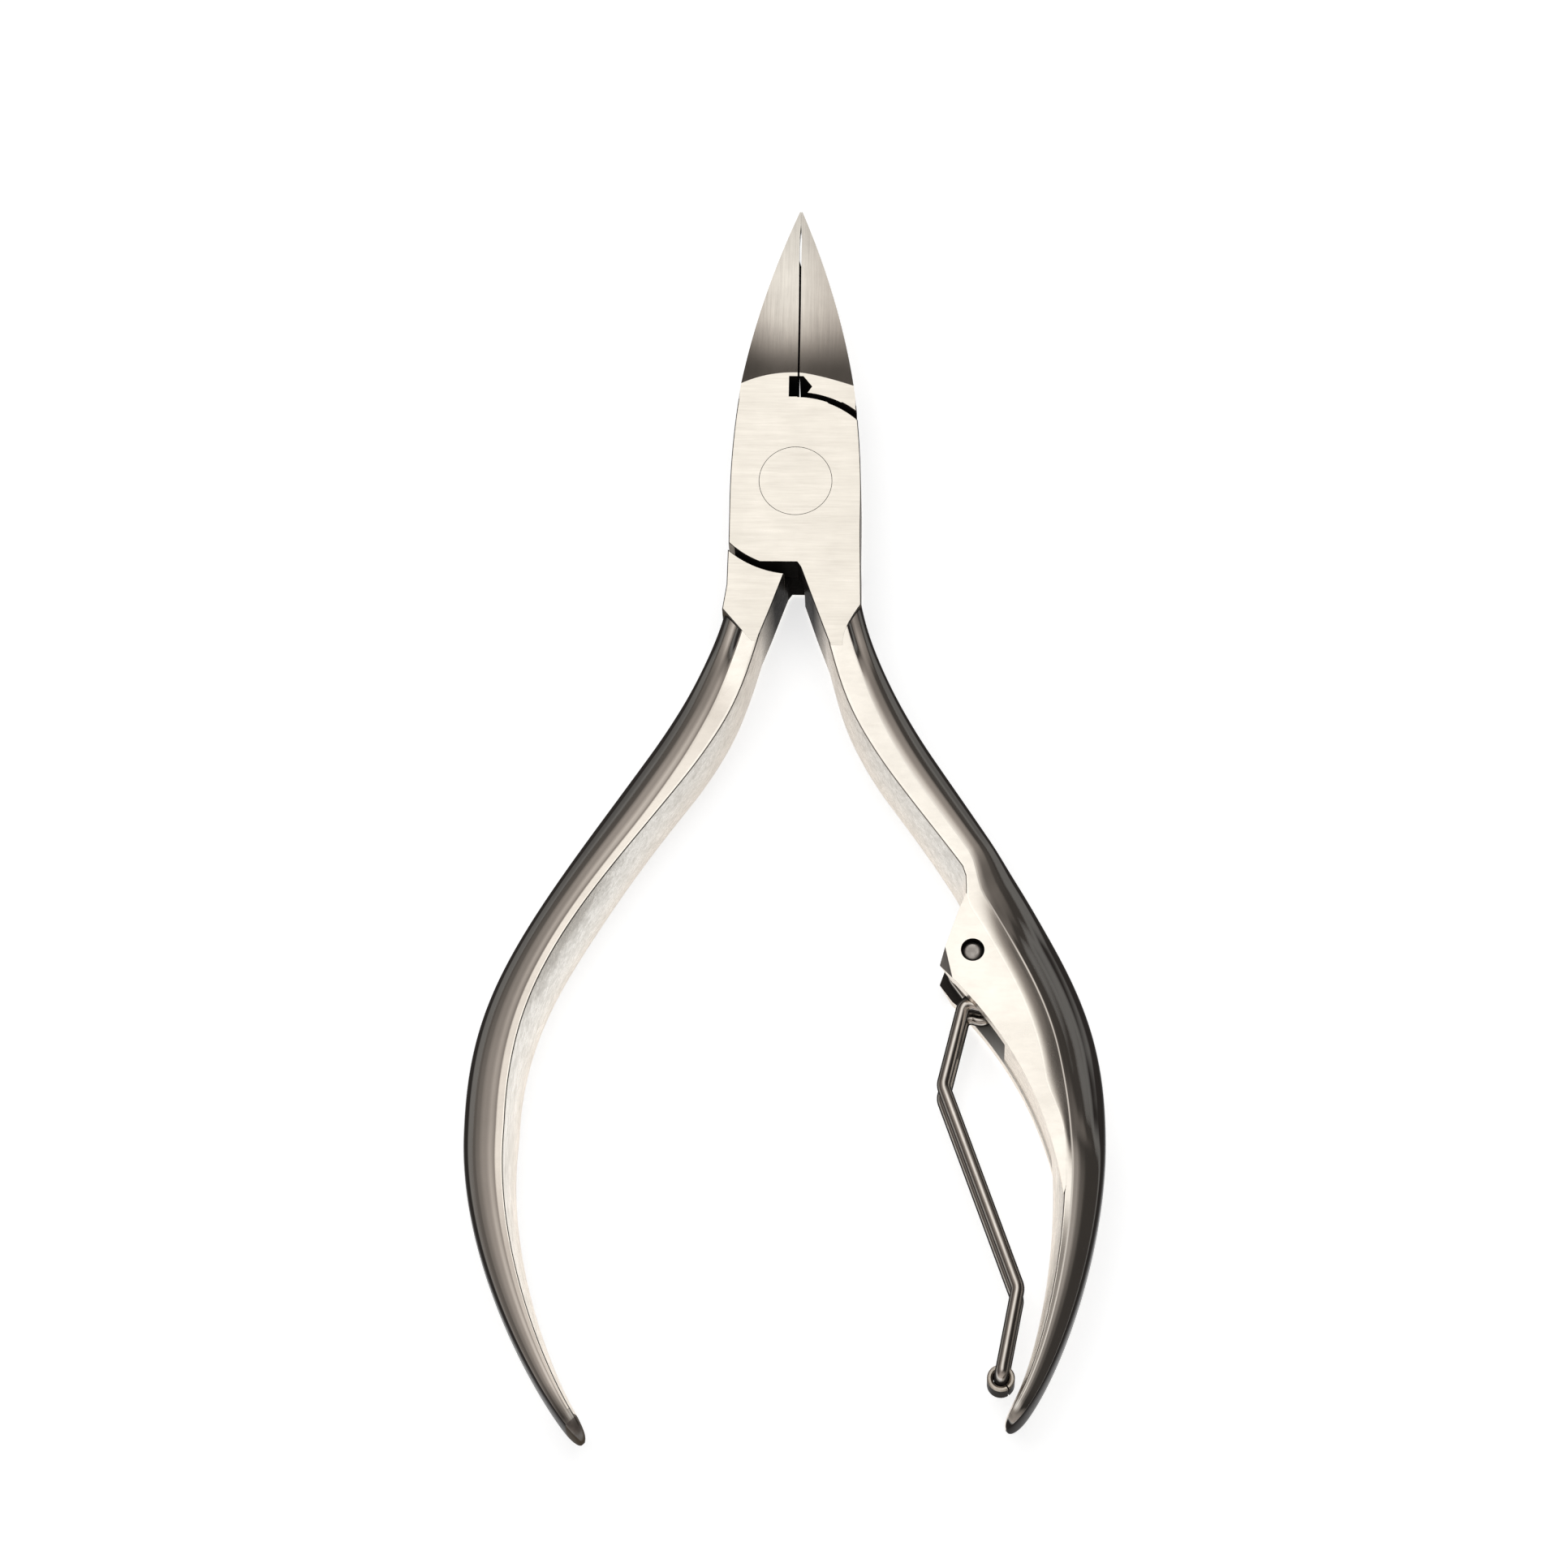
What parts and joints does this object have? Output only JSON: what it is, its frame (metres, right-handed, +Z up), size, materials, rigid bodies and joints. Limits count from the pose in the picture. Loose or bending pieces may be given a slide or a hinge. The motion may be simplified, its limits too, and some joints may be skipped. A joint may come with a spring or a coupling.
{
  "type": "cuticle nipper",
  "caption": "Hand nipper with pointed hollow-ground jaws, a riveted lap joint, bowed handles and a swinging wire return spring with a roller",
  "frame": {"origin": "on the pivot axis, on the flat rear face that the nipper lies on", "axes": "+Y from the handles to the jaw tips, +Z up from the table through the front face, +X to the right seen from the front"},
  "size_m": [0.0558, 0.115, 0.0084],
  "materials": {
    "arm_steel": "polished handles, satin joint, brushed jaws",
    "rivet_steel": "satin, ground flush",
    "pin_steel": "dull",
    "spring_steel": "polished wire",
    "roller_steel": "rolled sheet"
  },
  "bodies": {
    "front_half": {"front_arm": "arm_steel", "pivot_rivet": "rivet_steel", "spring_pin": "pin_steel"},
    "rear_half": {"rear_arm": "arm_steel"},
    "spring": {"wire_spring": "spring_steel"},
    "roller": {"spring_roller": "roller_steel"}
  },
  "joints": [
    {"name": "main_pivot", "type": "hinge", "parent": "front_half", "child": "rear_half", "pos_m": [0, 0, 0.0042], "axis": [0, 0, -1], "range_deg": [0, 22]},
    {"name": "spring_swing", "type": "hinge", "parent": "front_half", "child": "spring", "pos_m": [0.01615, -0.0437, 0.0042], "axis": [0, 0, -1], "range_deg": [0, 80]},
    {"name": "roller_spin", "type": "hinge", "parent": "spring", "child": "roller", "pos_m": [0.0189, -0.0812, 0.0042], "axis": [0, 0, 1], "continuous": true}
  ]
}
